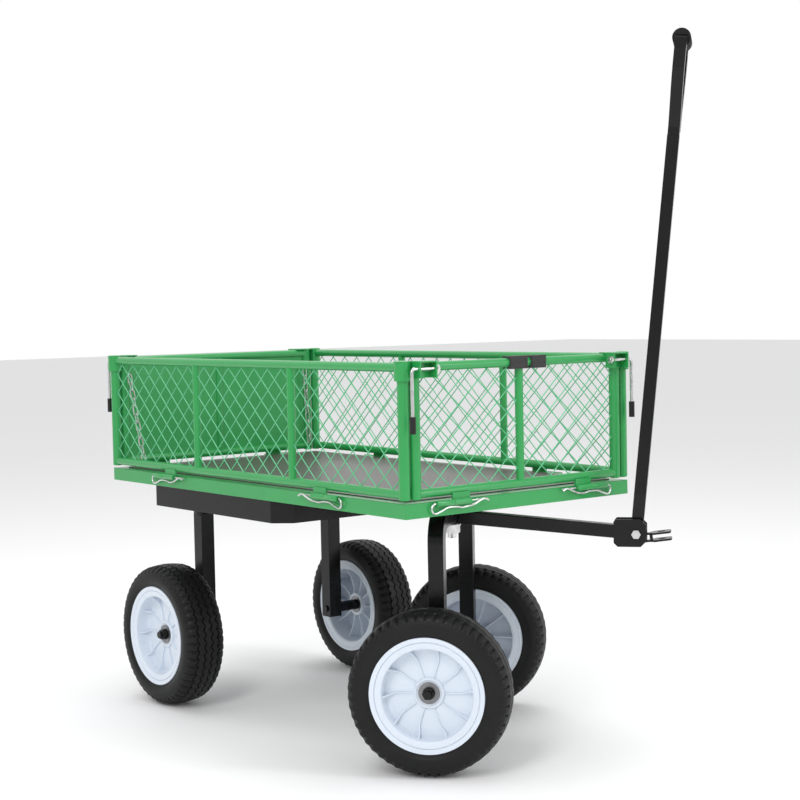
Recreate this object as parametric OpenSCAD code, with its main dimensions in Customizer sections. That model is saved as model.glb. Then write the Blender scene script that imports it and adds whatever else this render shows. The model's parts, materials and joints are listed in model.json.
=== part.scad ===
// Four-wheeled garden cart with a steered front axle, an upright pull handle and four
// fold-down sides. Heights in the sizes below are written above the ground. The origin of
// the part is the centre of the deck's top face, +X is forward, +Y is the cart's left.

/* [Bed] */
// Length of the tray
tray_l = 1150; // [1000:10:1300]
// Width of the tray
tray_w = 610; // [560:10:700]
// Height of the tray's top face above the ground
tray_top = 548; // [530:2:640]
// Height of the tray's folded skirt
skirt_h = 30; // [28:1:36]
// Sheet thickness of the tray frame
tray_sheet = 2.5; // [2:0.5:4]
// Width of the tray's inward top flange
flange_w = 38; // [32:1:44]
// Thickness of the deck sheet
deck_sheet_t = 2; // [1.5:0.5:4]
// Side of the square cross member tube
member_side = 25; // [20:1:26]

/* [Side panels] */
// Height of a side panel
panel_h = 264; // [220:2:340]
// Gap between the tray's top face and a panel's bottom rail
panel_gap = 8; // [6:1:14]
// Diameter of the panel end posts
post_d = 22; // [18:1:24]
// Diameter of the panel rails
rail_d = 18; // [15:1:20]
// Diameter of the panel dividers
divider_d = 17; // [13:1:19]
// Number of bays in a long panel
long_bays = 3; // [2:1:4]
// Number of bays in the front and back panel
end_bays = 2; // [1:1:3]
// Width of one mesh diamond
mesh_dx = 51; // [40:1:70]
// Height of one mesh diamond
mesh_dz = 45; // [30:1:60]
// Wire thickness of the mesh
wire_d = 3; // [2:0.5:4]
// Thickness of the back panel's closing sheet
back_sheet_t = 1.5; // [1:0.5:3]

/* [Hinges and latches] */
// Outer diameter of a hinge knuckle
knuckle_d = 12.4; // [10:0.4:14]
// Length of a hinge knuckle
knuckle_l = 44; // [34:1:50]
// Wire diameter of a spring clip
clip_d = 4; // [3:0.5:5]
// Diameter of a latch rod
latch_rod_d = 7; // [5:0.5:8]
// Diameter of a latch rod's sleeve grip
latch_grip_d = 12; // [10:1:13]
// Length of a latch rod's hanging leg with its grip
latch_leg_l = 124; // [90:2:150]

/* [Running gear] */
// Outside diameter of a tyre
tyre_d = 330; // [300:5:360]
// Width of a tyre
tyre_w = 101; // [90:1:106]
// Diameter at which the tyre seats on the hub
rim_d = 232; // [210:2:250]
// Diameter of the axles
axle_d = 16; // [12:1:20]
// Distance between the middles of two wheels on one axle
wheel_track = 564; // [550:2:640]
// Distance of the rear axle behind the bed's centre
rear_axle_back = 354; // [300:2:400]
// Distance of the kingpin ahead of the bed's centre
kingpin_ahead = 350; // [300:2:400]
// Distance between the middles of a fork's two legs
fork_track = 374; // [340:2:390]
// Side of the rear fork's square tube
rear_fork_side = 35; // [30:1:40]
// Side of the front fork's square tube
front_fork_side = 32; // [28:1:34]

/* [Drawbar and handle] */
// Steering angle of the front axle as it stands, to the left
steer_deg = 40; // [0:1:44]
// Distance of the clevis bolt ahead of the kingpin
clevis_reach = 392; // [385:1:460]
// Height of the clevis bolt above the ground
clevis_bolt_h = 445; // [436:1:460]
// Side of the drawbar's square tube
drawbar_side = 28; // [27:1:30]
// Side of the handle's square tube
handle_side = 25; // [20:1:26]
// Length of the handle from the clevis bolt to the middle of its grip
handle_l = 1022; // [850:2:1150]
// Forward lean of the upright handle
handle_lean = 5.9; // [2:0.1:12]
// Width of the handle's loop between the middles of its two arms
loop_w = 106; // [96:2:140]
// Height of the handle's loop
loop_h = 184; // [160:2:240]

/* [Hidden] */
$fn = 48;
wall = 2;
fit_gap = 0.3;
run_gap = 0.05;
past = 1;
deck_h = tray_top + deck_sheet_t;
tray_bottom = tray_top - skirt_h;
member_top = tray_top - tray_sheet;
member_bottom = member_top - member_side;
wheel_r = tyre_d / 2;

// Panels: the two long ones stand outside the ends of the front and back ones
corner_gap = 3;
long_y = tray_w / 2 - 6;
long_post_x = tray_l / 2 - 10;
end_x = tray_l / 2 - 7;
end_post_y = long_y - post_d - corner_gap;
panel_bottom = tray_top + panel_gap;
panel_top = panel_bottom + panel_h;
rail_low = panel_bottom + rail_d / 2;
rail_high = panel_top - rail_d / 2;

// Hinges: the axis lies just outside the skirt and just under the tray's top face
hinge_h = tray_top - 4.5;
hinge_off = knuckle_d / 2 + fit_gap;
long_hinge_x = 320;
end_hinge_y = 190;
hinge_bore = clip_d + 0.6;
strap_plate_t = 4;

// Spring clips, measured from the middle of a pair of knuckles
clip_in = 88;
clip_out = 46;
clip_r = 9;
clip_under = knuckle_d / 2 + clip_d / 2 + 0.6;

// Latches
latch_x = end_x + 27;
latch_y = long_y + 0.7;
latch_h = panel_top - 12;
latch_bend_r = 7;
latch_grip_l = 33;
bracket_t = 3;
bracket_in = latch_y - 58;
bracket_out = latch_y - 18;
bracket_h = 33;
bracket_top = panel_top + bracket_t;
bracket_x = end_x + post_d / 2;
bracket_l = 34;
collar_d = 33;
collar_h = 35;

// Undercarriage box
box_t = 3;
box_half = tray_w / 2 - tray_sheet;
box_rear = -rear_axle_back - rear_fork_side / 2 - 6;
box_front = 144;
box_corner = 36;
box_bottom = tray_bottom - 48;
box_plate = tray_bottom - 18;

// Forks
fork_bend = 44;
leg_foot = 20;
rear_crown = box_plate - rear_fork_side / 2;
king_d = 20;
king_plate_t = 6;
king_boss_h = 9;
front_crown = member_bottom - king_plate_t - king_boss_h - 0.5 - front_fork_side / 2;
sleeve_d = 31;
sleeve_bottom = front_crown - front_fork_side / 2 - 10.5;

// Wheels, measured about the wheel's own axis with the outer face towards +Z
hub_w = tyre_w - 5;
hub_dish = 28;
barrel_t = 5;
well_r = 92;
well_t = 4;
lip_t = 4;
web_t = 4;
boss_r = 30;
bearing_r = 21.5;
bearing_w = 12;
rib_n = 10;
rib_t = 4;
rib_h = hub_w / 2 - hub_dish - 2;
rib_proud = 5;
shoulder_r = 26;
spacer_d = 26;
axle_nut_af = 21;
axle_nut_t = 9;

// Clevis, tongue and handle
cheek_t = 5;
cheek_back = 47;
cheek_front = 21;
cheek_up = 31;
cheek_down = 27;
cheek_cut = 12;
web_l = 7;
bolt_d = 10;
bolt_af = 17;
foot_down = 25;
foot_w = 16;
foot_up = 30;
foot_full = 82;
tongue_l = 71;
tongue_w = 38;
tongue_t = 4;
tongue_gap = 11;
tongue_tilt = handle_lean + 7;
pin_hole_d = 16;
grip_d = 38;
grip_l = 84;
arm_side = handle_side - 1;

// Chains and strap
chain_wire = 3;
chain_r = 7;
chain_pitch = 2 * chain_r - chain_wire - fit_gap;
strap_t = 4;

// Frames of reference ----------------------------------------------------------------
module grounded() translate([0, 0, -deck_h]) children();
module steered() translate([kingpin_ahead, 0, 0]) rotate([0, 0, steer_deg]) children();
module at_handle() steered() translate([clevis_reach, 0, clevis_bolt_h])
    rotate([0, handle_lean, 0]) children();
module on_rear(side) translate([-rear_axle_back, side * wheel_track / 2, wheel_r])
    rotate([side * -90, 0, 0]) children();
module on_front(side) steered() translate([0, side * wheel_track / 2, wheel_r])
    rotate([side * -90, 0, 0]) children();

// Round bars and a hexagonal nut
module bar_x(d, y, z, from, to) translate([from, y, z]) rotate([0, 90, 0])
    cylinder(d = d, h = to - from);
module bar_y(d, x, z, from, to) translate([x, from, z]) rotate([-90, 0, 0])
    cylinder(d = d, h = to - from);
module bar_z(d, x, y, from, to) translate([x, y, from]) cylinder(d = d, h = to - from);
module nut(af, bore, h) difference() {
    cylinder(d = af / cos(30), h = h, $fn = 6);
    translate([0, 0, -past]) cylinder(d = bore, h = h + 2 * past);
}

// Hinge places: the middle of each pair of knuckles, +X outward along the edge of the
// tray and +Y into the tray
module at_long_hinge(side, end)
    translate([end * long_hinge_x, side * (tray_w / 2 + hinge_off), hinge_h])
        mirror([end < 0 ? 1 : 0, 0, 0]) mirror([0, side > 0 ? 1 : 0, 0]) children();
module at_end_hinge(end, side)
    translate([end * (tray_l / 2 + hinge_off), side * end_hinge_y, hinge_h])
        mirror([end > 0 ? 1 : 0, 0, 0]) mirror([0, side < 0 ? 1 : 0, 0])
            mirror([1, -1, 0]) children();

// Tray -------------------------------------------------------------------------------
module tray_sheet_metal() difference() {
    inside = tray_sheet;
    translate([-tray_l / 2, -tray_w / 2, tray_bottom]) cube([tray_l, tray_w, skirt_h]);
    translate([inside - tray_l / 2, inside - tray_w / 2, tray_bottom - past])
        cube([tray_l - 2 * inside, tray_w - 2 * inside, skirt_h + past - tray_sheet]);
    translate([flange_w - tray_l / 2, flange_w - tray_w / 2, tray_bottom])
        cube([tray_l - 2 * flange_w, tray_w - 2 * flange_w, skirt_h + past]);
}

deck_edge_x = 30;
deck_edge_y = 25;
module deck_sheet() color("dimgray") grounded()
    translate([deck_edge_x - tray_l / 2, deck_edge_y - tray_w / 2, tray_top])
        cube([tray_l - 2 * deck_edge_x, tray_w - 2 * deck_edge_y, deck_sheet_t]);

member_at = [90 - tray_l / 2, -150, kingpin_ahead - 90, kingpin_ahead + 90];
module cross_members() color("seagreen") grounded() for (x = member_at) difference() {
    length = tray_w - 2 * tray_sheet;
    translate([x - member_side / 2, -length / 2, member_bottom])
        cube([member_side, length, member_side]);
    translate([x - member_side / 2 + wall, -length, member_bottom + wall])
        cube([member_side - 2 * wall, 2 * length, member_side - 2 * wall]);
}

// One knuckle welded to the tray's skirt, along +X from the middle of the pair
module tray_knuckle() translate([fit_gap / 2, 0, 0]) difference() {
    union() {
        bar_x(knuckle_d, 0, 0, 0, knuckle_l);
        translate([0, 0, -knuckle_d / 2]) cube([knuckle_l, hinge_off, knuckle_d * 0.75]);
    }
    bar_x(hinge_bore, 0, 0, -past, knuckle_l + past);
}
module tray_frame() color("mediumseagreen") grounded() {
    tray_sheet_metal();
    for (a = [-1, 1], b = [-1, 1]) {
        at_long_hinge(a, b) tray_knuckle();
        at_end_hinge(a, b) tray_knuckle();
    }
}

// Undercarriage ----------------------------------------------------------------------
// Pressed box: walls with chamfered front corners round one horizontal plate
module box_outline(inset) polygon([
    [box_rear + inset, inset - box_half],
    [box_front - box_corner, inset - box_half],
    [box_front - inset, box_corner - box_half],
    [box_front - inset, box_half - box_corner],
    [box_front - box_corner, box_half - inset],
    [box_rear + inset, box_half - inset]
]);
module undercarriage_box() color("#2b2b2b") grounded() difference() {
    translate([0, 0, box_bottom]) linear_extrude(member_bottom - box_bottom) box_outline(0);
    translate([0, 0, box_bottom - past])
        linear_extrude(box_plate - box_bottom + past) box_outline(box_t);
    translate([0, 0, box_plate + box_t])
        linear_extrude(member_bottom - box_plate) box_outline(box_t);
}

// An inverted U of square tube: its crown lies along Y, its legs reach down past the axle
module fork_solid(side, foot, crown) {
    half = fork_track / 2;
    translate([-side / 2, fork_bend - half, crown - side / 2])
        cube([side, 2 * (half - fork_bend), side]);
    for (s = [-1, 1]) {
        translate([-side / 2, s * half - side / 2, foot])
            cube([side, side, crown - fork_bend - foot]);
        translate([-side / 2, s * (half - fork_bend), crown - fork_bend])
            mirror([0, s < 0 ? 1 : 0, 0]) rotate([90, 0, 90])
                rotate_extrude(angle = 90) translate([fork_bend - side / 2, 0])
                    square(side);
    }
}
module fork(side, crown) difference() {
    foot = wheel_r - leg_foot;
    fork_solid(side, foot, crown);
    fork_solid(side - 2 * wall, foot - past, crown);
    bar_y(axle_d, 0, wheel_r, -fork_track, fork_track);
}
module rear_fork() color("#222222") grounded() translate([-rear_axle_back, 0, 0])
    fork(rear_fork_side, rear_crown);

// A stub axle through each leg, with a spacer between the leg and the wheel beside it
stub_inside = 4;
bearing_face = hub_w / 2 - hub_dish;
module axle(leg_side) {
    leg_out = fork_track / 2 + leg_side / 2;
    spacer_out = wheel_track / 2 - bearing_face - 0.5;
    end = wheel_track / 2 + bearing_face + axle_nut_t + 8;
    leg_in = fork_track / 2 - leg_side / 2;
    for (s = [-1, 1]) translate([0, 0, wheel_r]) rotate([-90 * s, 0, 0])
        translate([0, 0, leg_in - stub_inside])
            cylinder(d = axle_d, h = end - leg_in + stub_inside);
    for (s = [-1, 1]) translate([0, s * leg_out, wheel_r]) rotate([-90 * s, 0, 0])
        difference() {
            cylinder(d = spacer_d, h = spacer_out - leg_out);
            translate([0, 0, -past]) cylinder(d = axle_d / 2, h = spacer_out);
        }
}
module axle_nuts() for (s = [-1, 1])
    translate([0, s * (wheel_track / 2 + bearing_face + 0.5), wheel_r]) rotate([-90 * s, 0, 0]) {
        difference() {
            cylinder(d = 25, h = 2.5);
            translate([0, 0, -past]) cylinder(d = axle_d, h = 5);
        }
        translate([0, 0, 2.5]) nut(axle_nut_af, axle_d, axle_nut_t);
    }
module rear_axle() color("#2a2a2a") grounded() translate([-rear_axle_back, 0, 0])
    axle(rear_fork_side);
module rear_axle_nuts() color("#2a2a2a") grounded() translate([-rear_axle_back, 0, 0])
    axle_nuts();

// Kingpin and its plate under the tray
king_plate_w = 140;
king_plate_l = 230;
king_boss_d = 64;
king_low = sleeve_bottom - 30;
module king_plate() color("#222222") grounded() translate([kingpin_ahead, 0, 0]) difference() {
    union() {
        translate([-king_plate_l / 2, -king_plate_w / 2, member_bottom - king_plate_t])
            cube([king_plate_l, king_plate_w, king_plate_t]);
        translate([0, 0, member_bottom - king_plate_t - king_boss_h])
            cylinder(d = king_boss_d, h = king_boss_h);
    }
    translate([0, 0, front_crown]) cylinder(d = king_d, h = 2 * member_side);
}
module kingpin() color("silver") grounded() translate([kingpin_ahead, 0, 0]) {
    translate([0, 0, king_low]) cylinder(d = king_d, h = member_bottom - king_low);
    translate([0, 0, member_bottom]) cylinder(d = 30 / cos(30), h = 12, $fn = 6);
    translate([0, 0, sleeve_bottom - 0.5 - 3]) difference() {
        cylinder(d = 38, h = 3);
        translate([0, 0, -past]) cylinder(d = king_d - 2, h = 5);
    }
    translate([0, 0, sleeve_bottom - 0.5 - 3 - 16]) difference() {
        cylinder(d = 30 / cos(30), h = 16, $fn = 6);
        translate([0, 0, -past]) cylinder(d = king_d - 2, h = 18);
    }
}

// Steered front axle -----------------------------------------------------------------
module front_fork() color("#222222") grounded() steered() difference() {
    union() {
        fork(front_fork_side, front_crown);
        bar_z(sleeve_d, 0, 0, sleeve_bottom, front_crown + front_fork_side / 2);
    }
    bar_z(king_d + 2 * run_gap, 0, 0, sleeve_bottom - past, front_crown + front_fork_side);
}
module front_axle() color("#2a2a2a") grounded() steered() axle(front_fork_side);
module front_axle_nuts() color("#2a2a2a") grounded() steered() axle_nuts();

// Drawbar: a square tube that slopes down from the crown to the clevis
drawbar_from = front_fork_side / 2;
drawbar_to = clevis_reach - 38;
drawbar_end = clevis_bolt_h + 4;
drawbar_root = front_crown - 11;
module drawbar_side_view(half, extra) polygon([
    [drawbar_from - extra, drawbar_root - half],
    [drawbar_to + extra, drawbar_end - half],
    [drawbar_to + extra, drawbar_end + half],
    [drawbar_from - extra, drawbar_root + half]
]);
module drawbar() color("#222222") grounded() steered() difference() {
    bore = drawbar_side - 2 * wall;
    translate([0, drawbar_side / 2, 0]) rotate([90, 0, 0])
        linear_extrude(drawbar_side) drawbar_side_view(drawbar_side / 2, 0);
    translate([0, bore / 2, 0]) rotate([90, 0, 0])
        linear_extrude(bore) drawbar_side_view(bore / 2, past);
}

// Clevis: two cheeks beside the drawbar's end, joined by a short web under it
cheek_low = clevis_bolt_h - cheek_down;
cheek_from = clevis_reach - cheek_back;
module cheek_outline() polygon([
    [cheek_from, cheek_low + 8], [cheek_from + 8, cheek_low],
    [clevis_reach + cheek_front - cheek_cut, cheek_low],
    [clevis_reach + cheek_front, cheek_low + cheek_cut],
    [clevis_reach + cheek_front, clevis_bolt_h + cheek_up - cheek_cut],
    [clevis_reach + cheek_front - cheek_cut, clevis_bolt_h + cheek_up],
    [cheek_from + 5, clevis_bolt_h + cheek_up], [cheek_from, clevis_bolt_h + cheek_up - 5]
]);
module clevis() color("#222222") grounded() steered() difference() {
    union() {
        for (y = [-drawbar_side / 2, drawbar_side / 2 + cheek_t]) translate([0, y, 0])
            rotate([90, 0, 0]) linear_extrude(cheek_t) cheek_outline();
        translate([cheek_from, -drawbar_side / 2, cheek_low + 8])
            cube([web_l, drawbar_side, drawbar_end - drawbar_side / 2 - cheek_low - 8]);
    }
    bar_y(bolt_d, clevis_reach, clevis_bolt_h, -drawbar_side, drawbar_side);
}
module clevis_bolt() color("silver") grounded() steered()
    translate([clevis_reach, 0, clevis_bolt_h]) {
        half = drawbar_side / 2 + cheek_t;
        bar_y(bolt_d, 0, 0, -half - 12, half);
        translate([0, half, 0]) rotate([-90, 0, 0]) cylinder(d = bolt_af / cos(30), h = 7, $fn = 6);
        translate([0, -half, 0]) rotate([90, 0, 0]) difference() {
            cylinder(d = bolt_af / cos(30), h = 9, $fn = 6);
            translate([0, 0, -past]) cylinder(d = bolt_d - 1, h = 12);
        }
    }

// Handle -----------------------------------------------------------------------------
// Tow tongue on the handle's foot: two flat bars over each other with one pin hole
module tongue_plate(from, w) polygon([
    [from, -foot_w / 2], [foot_down, -foot_w / 2], [foot_down + 11, -w / 2],
    [tongue_l - 4, -w / 2], [tongue_l, 4 - w / 2], [tongue_l, w / 2 - 4],
    [tongue_l - 4, w / 2], [foot_down + 11, w / 2], [foot_down, foot_w / 2],
    [from, foot_w / 2]
]);
module tow_tongue() color("#333333") grounded() at_handle() rotate([0, -tongue_tilt, 0])
    difference() {
        union() {
            for (z = [-foot_down + 4, -foot_down + 4 + tongue_t + tongue_gap])
                translate([0, 0, z]) linear_extrude(tongue_t) tongue_plate(0, tongue_w);
            translate([foot_down + 1, -foot_w / 2, 4 + tongue_t - foot_down])
                cube([6, foot_w, tongue_gap]);
        }
        rotate([0, tongue_tilt, 0]) translate([-foot_down, -foot_w, -2 * foot_down])
            cube([foot_down + handle_side / 2, 2 * foot_w, 4 * foot_down]);
        translate([tongue_l - 20, 0, -foot_down])
            cylinder(d = pin_hole_d, h = 2 * foot_down);
    }

// The handle's path in its own plane: Y across, Z up the shaft
neck = handle_l - loop_h;
arm_y = loop_w / 2;
plug_y = handle_side / 2 + arm_side / 2 + 1;
function loop_path(extra) = [
    [0, neck - 10], [0, neck + 8], [-11, neck + 34], [-arm_y + 9, neck + 92],
    [-arm_y, neck + 122], [-arm_y, handle_l - 28], [-arm_y + 9, handle_l - 9],
    [-arm_y + 26, handle_l], [arm_y - 26, handle_l], [arm_y - 9, handle_l - 9],
    [arm_y, handle_l - 28], [arm_y, neck + 122], [arm_y - 5, neck + 92],
    [plug_y + 2, neck + 40], [plug_y, neck + 18], [plug_y, neck - extra]
];
function along(a, b) = (b - a) / norm(b - a);
function across(v) = [-v[1], v[0]];
function before(p, i) = along(p[max(i - 1, 0)], p[max(i, 1)]);
function after(p, i) = along(p[min(i, len(p) - 2)], p[min(i + 1, len(p) - 1)]);
function mitre(p, i, w) = let (n = across(before(p, i)) + across(after(p, i)))
    p[i] + n * 2 * w / (n * n);
function ribbon(p, w) = concat(
    [for (i = [0:len(p) - 1]) mitre(p, i, w)],
    [for (i = [len(p) - 1:-1:0]) mitre(p, i, -w)]
);
module loop_tube(side, extra) rotate([90, 0, 90]) translate([0, 0, -side / 2])
    linear_extrude(side) polygon(ribbon(loop_path(extra), side / 2));
module shaft(inset, low, high) rotate([90, 0, 90]) translate([0, 0, inset - handle_side / 2])
    linear_extrude(handle_side - 2 * inset) polygon([
        [inset - foot_w / 2, low], [foot_w / 2 - inset, low],
        [foot_w / 2 - inset, foot_up], [handle_side / 2 - inset, foot_full],
        [handle_side / 2 - inset, high], [inset - handle_side / 2, high],
        [inset - handle_side / 2, foot_full], [inset - foot_w / 2, foot_up]
    ]);
module handle_tube() color("#222222") grounded() at_handle() difference() {
    union() {
        shaft(0, -foot_down, neck - 10);
        loop_tube(arm_side, 0);
    }
    shaft(wall, -foot_down - past, neck - 10);
    loop_tube(arm_side - 2 * wall, past);
    bar_y(bolt_d + 2 * run_gap, 0, 0, -handle_side, handle_side);
}
module handle_plug() color("#111111") grounded() at_handle()
    translate([-arm_side / 2 + 1, plug_y - arm_side / 2 + 1, neck - 4])
        cube([arm_side - 2, arm_side - 2, 4]);
module handle_grip() color("#1a1a1a") grounded() at_handle() difference() {
    bar_y(grip_d, 0, handle_l, -grip_l / 2, grip_l / 2);
    loop_tube(arm_side, 0);
}

// Wheels -----------------------------------------------------------------------------
module tyre() rotate_extrude($fn = 96) difference() {
    flat = tyre_w / 2 - shoulder_r;
    union() {
        translate([rim_d / 2, -hub_w / 2]) square([wheel_r - shoulder_r - rim_d / 2, hub_w]);
        translate([rim_d / 2, -flat]) square([wheel_r - rim_d / 2, 2 * flat]);
        for (s = [-1, 1]) translate([wheel_r - shoulder_r, s * flat]) circle(r = shoulder_r);
    }
    translate([0, -tyre_w]) square([rim_d / 2, 2 * tyre_w]);
}
module hub() difference() {
    union() {
        rotate_extrude($fn = 96) {
            translate([rim_d / 2 - barrel_t, -hub_w / 2]) square([barrel_t, hub_w]);
            for (s = [-1, 1]) mirror([0, s < 0 ? 1 : 0]) {
                translate([well_r, hub_w / 2 - lip_t]) square([rim_d / 2 - well_r, lip_t]);
                translate([well_r, 0]) square([well_t, hub_w / 2]);
                translate([well_r, -web_t / 2]) square([rim_d / 2 - well_r, web_t]);
            }
            translate([boss_r - 1, rib_h - rib_proud - web_t])
                square([well_r - boss_r + 2, web_t]);
            translate([axle_d / 2 + 3, -bearing_face]) square([boss_r - axle_d / 2 - 3, 2 * bearing_face]);
        }
        for (i = [0:rib_n - 1]) rotate([0, 0, i * 360 / rib_n])
            translate([boss_r - 2, -rib_t / 2, -rib_h])
                cube([well_r - boss_r + 4, rib_t, 2 * rib_h]);
    }
    for (s = [-1, 1]) translate([0, 0, s * bearing_face - (s > 0 ? bearing_w : 0)])
        cylinder(r = bearing_r, h = bearing_w);
    translate([0, 0, -hub_w]) cylinder(d = axle_d + 6, h = 2 * hub_w);
}
module bearings() for (s = [-1, 1])
    translate([0, 0, s * bearing_face - (s > 0 ? bearing_w : 0)]) difference() {
        cylinder(r = bearing_r, h = bearing_w);
        translate([0, 0, -past]) cylinder(d = axle_d + 2 * run_gap, h = bearing_w + 2 * past);
    }
module tyre_rear_right() color("#262626") grounded() on_rear(-1) tyre();
module tyre_rear_left() color("#262626") grounded() on_rear(1) tyre();
module tyre_front_right() color("#262626") grounded() on_front(-1) tyre();
module tyre_front_left() color("#262626") grounded() on_front(1) tyre();
module hub_rear_right() color("gainsboro") grounded() on_rear(-1) hub();
module hub_rear_left() color("gainsboro") grounded() on_rear(1) hub();
module hub_front_right() color("gainsboro") grounded() on_front(-1) hub();
module hub_front_left() color("gainsboro") grounded() on_front(1) hub();
module bearings_rear_right() color("#444444") grounded() on_rear(-1) bearings();
module bearings_rear_left() color("#444444") grounded() on_rear(1) bearings();
module bearings_front_right() color("#444444") grounded() on_front(-1) bearings();
module bearings_front_left() color("#444444") grounded() on_front(1) bearings();

// Side panels ------------------------------------------------------------------------
// A panel's frame along X about its own middle: end posts, two rails and even dividers
post_proud = 1;
module panel_frame(half, bays) {
    for (x = [-half, half])
        bar_z(post_d, x, 0, panel_bottom - post_proud, panel_top + post_proud);
    for (z = [rail_low, rail_high]) bar_x(rail_d, 0, z, -half, half);
    if (bays > 1) for (i = [1:bays - 1])
        bar_z(divider_d, i * 2 * half / bays - half, 0, rail_low, rail_high);
}
// The panel's knuckle beside the tray's, with a plate up into the panel's bottom rail
plate_below_rail = 3;
module panel_knuckle() translate([-knuckle_l - fit_gap / 2, 0, 0]) difference() {
    union() {
        bar_x(knuckle_d, 0, 0, 0, knuckle_l);
        translate([0, knuckle_d / 2 - strap_plate_t, 0])
            cube([knuckle_l, strap_plate_t, rail_low - plate_below_rail - hinge_h]);
    }
    bar_x(hinge_bore, 0, 0, -past, knuckle_l + past);
}
// A collar on a long panel's end post, cut flat beside the end panel's post
module collar(side, end) difference() {
    bar_z(collar_d, end * long_post_x, side * long_y, panel_top - collar_h, panel_top + 2);
    translate([end * long_post_x - collar_d, side * (long_y - post_d / 2) - (side > 0 ? collar_d : 0), panel_top - 2 * collar_h])
        cube([2 * collar_d, collar_d, 3 * collar_h]);
}
module long_panel(side) color("mediumseagreen") grounded() {
    translate([0, side * long_y, 0]) panel_frame(long_post_x, long_bays);
    for (end = [-1, 1]) {
        at_long_hinge(side, end) panel_knuckle();
        collar(side, end);
    }
}
module end_panel(end) color("mediumseagreen") grounded() {
    translate([end * end_x, 0, 0]) rotate([0, 0, 90]) panel_frame(end_post_y, end_bays);
    for (side = [-1, 1]) at_end_hinge(end, side) panel_knuckle();
}
module panel_right_frame() long_panel(-1);
module panel_left_frame() long_panel(1);
module panel_front_frame() end_panel(1);
module panel_back_frame() end_panel(-1);

// The clear openings between posts and rails, as [from, to] along the panel
mesh_low = panel_bottom + rail_d;
mesh_high = panel_top - rail_d;
function bay_from(half, bays, i) =
    i * 2 * half / bays - half + (i == 0 ? post_d : divider_d) / 2;
function bay_to(half, bays, i) =
    (i + 1) * 2 * half / bays - half - (i == bays - 1 ? post_d : divider_d) / 2;

// Diamond mesh of crossed wires in one bay; its border cells are open at the frame
module bay_mesh(w, h) {
    nx = round(w / mesh_dx);
    nz = round(h / mesh_dz);
    dx = w / nx;
    dz = h / nz;
    hx = dx / 2 - wire_d * 0.75;
    hz = dz / 2 - wire_d * 0.66;
    linear_extrude(wire_d) intersection() {
        square([w, h]);
        difference() {
            square([w, h]);
            for (i = [0:nx - 1], j = [0:nz - 1]) translate([(i + 0.5) * dx, (j + 0.5) * dz])
                polygon([[-hx, 0], [0, -hz], [hx, 0], [0, hz]]);
            for (i = [0:nx], j = [0:nz]) translate([i * dx, j * dz])
                polygon([[-hx, 0], [0, -hz], [hx, 0], [0, hz]]);
        }
    }
}
module panel_mesh(half, bays) for (i = [0:bays - 1])
    translate([bay_from(half, bays, i), wire_d / 2, mesh_low]) rotate([90, 0, 0])
        bay_mesh(bay_to(half, bays, i) - bay_from(half, bays, i), mesh_high - mesh_low);
module panel_right_mesh() color("lightgreen") grounded() translate([0, -long_y, 0])
    panel_mesh(long_post_x, long_bays);
module panel_left_mesh() color("lightgreen") grounded() translate([0, long_y, 0])
    panel_mesh(long_post_x, long_bays);
module panel_front_mesh() color("lightgreen") grounded() translate([end_x, 0, 0])
    rotate([0, 0, 90]) panel_mesh(end_post_y, end_bays);
module panel_back_sheet() color("seagreen") grounded() for (i = [0:end_bays - 1]) {
    from = bay_from(end_post_y, end_bays, i);
    translate([-end_x - back_sheet_t / 2, from, mesh_low])
        cube([back_sheet_t, bay_to(end_post_y, end_bays, i) - from, mesh_high - mesh_low]);
}

// Corner latches ---------------------------------------------------------------------
// Bracket on the end panel's post: back plate, roof and two ears that carry the rod
module latch_bracket(end, side) mirror([end < 0 ? 1 : 0, 0, 0])
    mirror([0, side < 0 ? 1 : 0, 0]) difference() {
        w = bracket_out - bracket_in + bracket_t;
        low = bracket_top - bracket_h;
        union() {
            translate([bracket_x - bracket_t, bracket_in, low])
                cube([2 * bracket_t, w, bracket_h]);
            translate([end_x - post_d / 2, bracket_in, panel_top])
                cube([post_d / 2 + bracket_l, w, bracket_t]);
            for (y = [bracket_in, bracket_out]) translate([bracket_x, y, low])
                cube([bracket_l - post_d / 2, bracket_t, bracket_h]);
        }
        bar_z(post_d, end_x, end_post_y, low - past, panel_top + post_proud);
        bar_y(rail_d, end_x, rail_high, 0, end_post_y);
        bar_y(latch_rod_d + 2 * run_gap, latch_x, latch_h, bracket_in - past, latch_y);
    }
module latch_brackets_front() color("mediumseagreen") grounded() for (s = [-1, 1])
    latch_bracket(1, s);
module latch_brackets_back() color("mediumseagreen") grounded() for (s = [-1, 1])
    latch_bracket(-1, s);

// Rod: along Y through the ears, then a bend and a leg that hangs down, with a nut inside
leg_low = latch_h - latch_leg_l;
module latch_rod(end, side) mirror([end < 0 ? 1 : 0, 0, 0])
    mirror([0, side < 0 ? 1 : 0, 0]) {
        bar_y(latch_rod_d, latch_x, latch_h, bracket_in - 9, latch_y - latch_bend_r);
        translate([latch_x, latch_y - latch_bend_r, latch_h - latch_bend_r])
            rotate([90, 0, 90]) rotate_extrude(angle = 90)
                translate([latch_bend_r, 0]) circle(d = latch_rod_d);
        bar_z(latch_rod_d, latch_x, latch_y, leg_low + 4, latch_h - latch_bend_r);
        translate([latch_x, bracket_in - 1, latch_h]) rotate([90, 0, 0])
            cylinder(d = 14 / cos(30), h = 6, $fn = 6);
    }
module latch_grip(end, side) mirror([end < 0 ? 1 : 0, 0, 0])
    mirror([0, side < 0 ? 1 : 0, 0]) difference() {
        bar_z(latch_grip_d, latch_x, latch_y, leg_low, leg_low + latch_grip_l);
        bar_z(latch_rod_d, latch_x, latch_y, leg_low + 4, latch_h);
    }
module latch_front_right() color("silver") grounded() latch_rod(1, -1);
module latch_front_left() color("silver") grounded() latch_rod(1, 1);
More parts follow.
